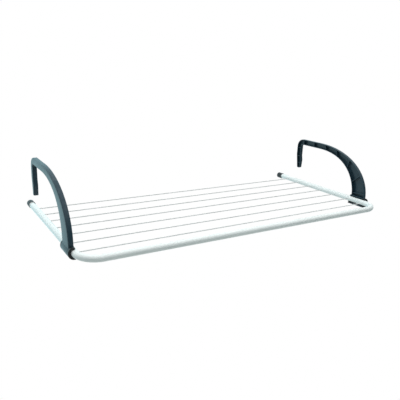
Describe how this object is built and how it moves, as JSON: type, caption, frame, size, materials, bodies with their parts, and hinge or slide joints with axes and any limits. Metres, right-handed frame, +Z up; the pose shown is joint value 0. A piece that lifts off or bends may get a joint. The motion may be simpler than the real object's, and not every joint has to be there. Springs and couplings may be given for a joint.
{
  "type": "hook-over clothes airer",
  "caption": "U-shaped tube frame strung with drying lines, hung from a rail or wall by two hook arms that slide along its side tubes and fold over the lines.",
  "frame": {"origin": "midway between the two arms, on the top outer edge of the rail or wall that the airer hangs on: at the height of the hook seats and on the plane of the hook legs' front faces", "axes": "+X across the frame to its right, +Y from the front bar to the capped rear ends, +Z up"},
  "size_m": [1.0328, 0.509, 0.1829],
  "materials": {
    "white_tube": "satin white powder coat",
    "coated_line": "thin pale grey coating over a steel line",
    "line_ferrule": "crimped, dull",
    "dark_cap": "moulded, satin",
    "black_slider": "moulded, satin",
    "slate_arm": "moulded, fine grain, satin"
  },
  "bodies": {
    "frame": {"frame_tube": "white_tube", "drying_line_1": "coated_line", "drying_line_2": "coated_line", "drying_line_3": "coated_line", "drying_line_4": "coated_line", "drying_line_5": "coated_line", "drying_line_6": "coated_line", "drying_line_7": "coated_line", "line_stops_left": "line_ferrule", "line_stops_right": "line_ferrule", "end_cap_left": "dark_cap", "end_cap_right": "dark_cap"},
    "left_slider": {"slider_left": "black_slider"},
    "left_arm": {"arm_left": "slate_arm"},
    "right_slider": {"slider_right": "black_slider"},
    "right_arm": {"arm_right": "slate_arm"}
  },
  "joints": [
    {"name": "left_slide", "type": "slide", "parent": "frame", "child": "left_slider", "axis": [0, 1, 0], "range_m": [0, 0.31]},
    {"name": "left_fold", "type": "hinge", "parent": "left_slider", "child": "left_arm", "pos_m": [-0.5, -0.298, -0.1465], "axis": [0, 1, 0], "range_deg": [0, 80]},
    {"name": "right_slide", "type": "slide", "parent": "frame", "child": "right_slider", "axis": [0, 1, 0], "range_m": [0, 0.31]},
    {"name": "right_fold", "type": "hinge", "parent": "right_slider", "child": "right_arm", "pos_m": [0.5, -0.298, -0.1465], "axis": [0, -1, 0], "range_deg": [0, 80]}
  ]
}
